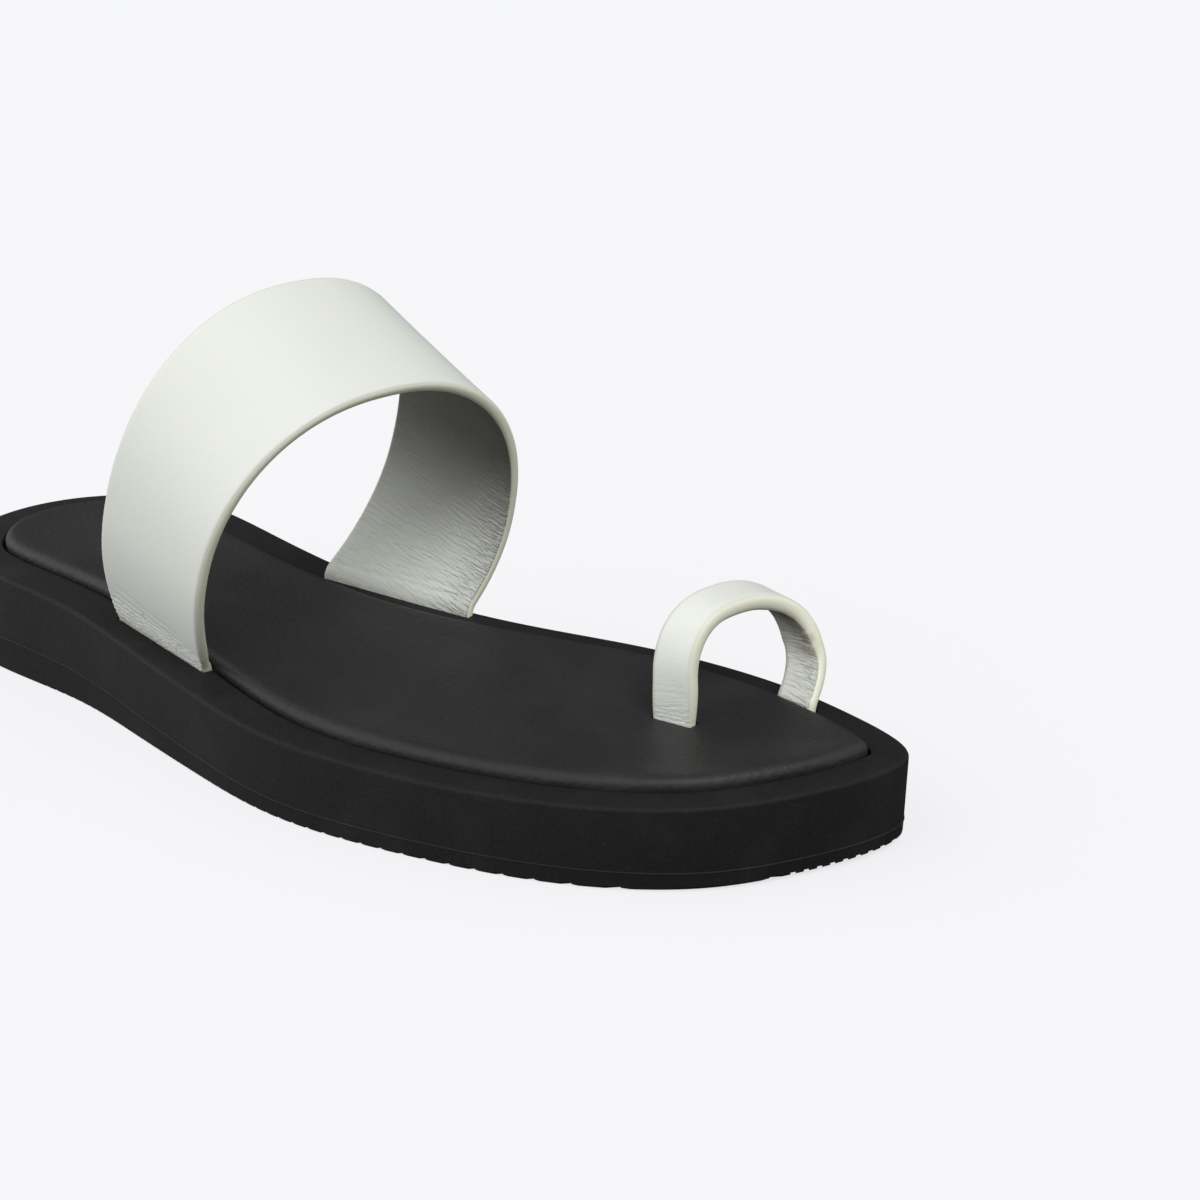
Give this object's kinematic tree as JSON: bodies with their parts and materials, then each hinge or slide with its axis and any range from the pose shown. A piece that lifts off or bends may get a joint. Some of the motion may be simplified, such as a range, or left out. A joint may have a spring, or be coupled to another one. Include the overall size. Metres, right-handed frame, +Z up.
{
  "type": "toe loop sandal",
  "caption": "Flat toe loop sandal for the right foot: black wedge sole with a raised footbed, wide ivory leather instep band and a narrow ivory big-toe loop.",
  "frame": {"origin": "on the floor, at the middle of the sole's length and width", "axes": "+Z up, -Y towards the toe, +X towards the inner side of the foot"},
  "size_m": [0.0898, 0.2594, 0.1014],
  "materials": {
    "outsole_rubber": "matte black rubber with a fine ribbed tread",
    "midsole_foam": "matte black foam with a fine grain",
    "footbed_leather": "black satin leather with a pebbled rolled edge",
    "strap_leather": "smooth ivory leather with cream painted edges"
  },
  "bodies": {
    "root": {"outsole": "outsole_rubber", "midsole": "midsole_foam", "footbed": "footbed_leather", "instep_strap": "strap_leather", "toe_loop": "strap_leather"}
  },
  "joints": []
}
